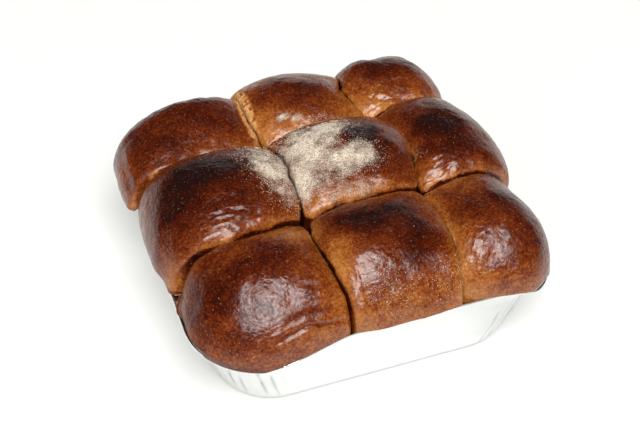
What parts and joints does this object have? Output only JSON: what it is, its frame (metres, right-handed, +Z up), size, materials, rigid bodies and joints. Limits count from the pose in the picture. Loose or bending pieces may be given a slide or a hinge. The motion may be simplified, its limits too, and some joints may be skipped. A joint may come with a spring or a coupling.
{
  "type": "pull-apart bread in a foil pan",
  "caption": "Square loaf of soft wholemeal rolls baked side by side in a shallow foil pan, domed above the rim, with a dusting of flour.",
  "frame": {"origin": "middle of the pan's flat base, on the underside", "axes": "+Z up out of the pan, +X to the right and +Y to the back of the square loaf; the front of the loaf is at -Y"},
  "size_m": [0.2165, 0.2104, 0.0915],
  "materials": {
    "crust": "glazed dark brown wholemeal crust, near black on the crowns and tan beside the seams",
    "foil": "bright pressed aluminium foil"
  },
  "bodies": {
    "root": {"foil_pan": "foil", "roll_front_left": "crust", "roll_front_middle": "crust", "roll_front_right": "crust", "roll_middle_left": "crust", "roll_centre": "crust", "roll_middle_right": "crust", "roll_back_left": "crust", "roll_back_middle": "crust", "roll_back_right": "crust"}
  },
  "joints": []
}
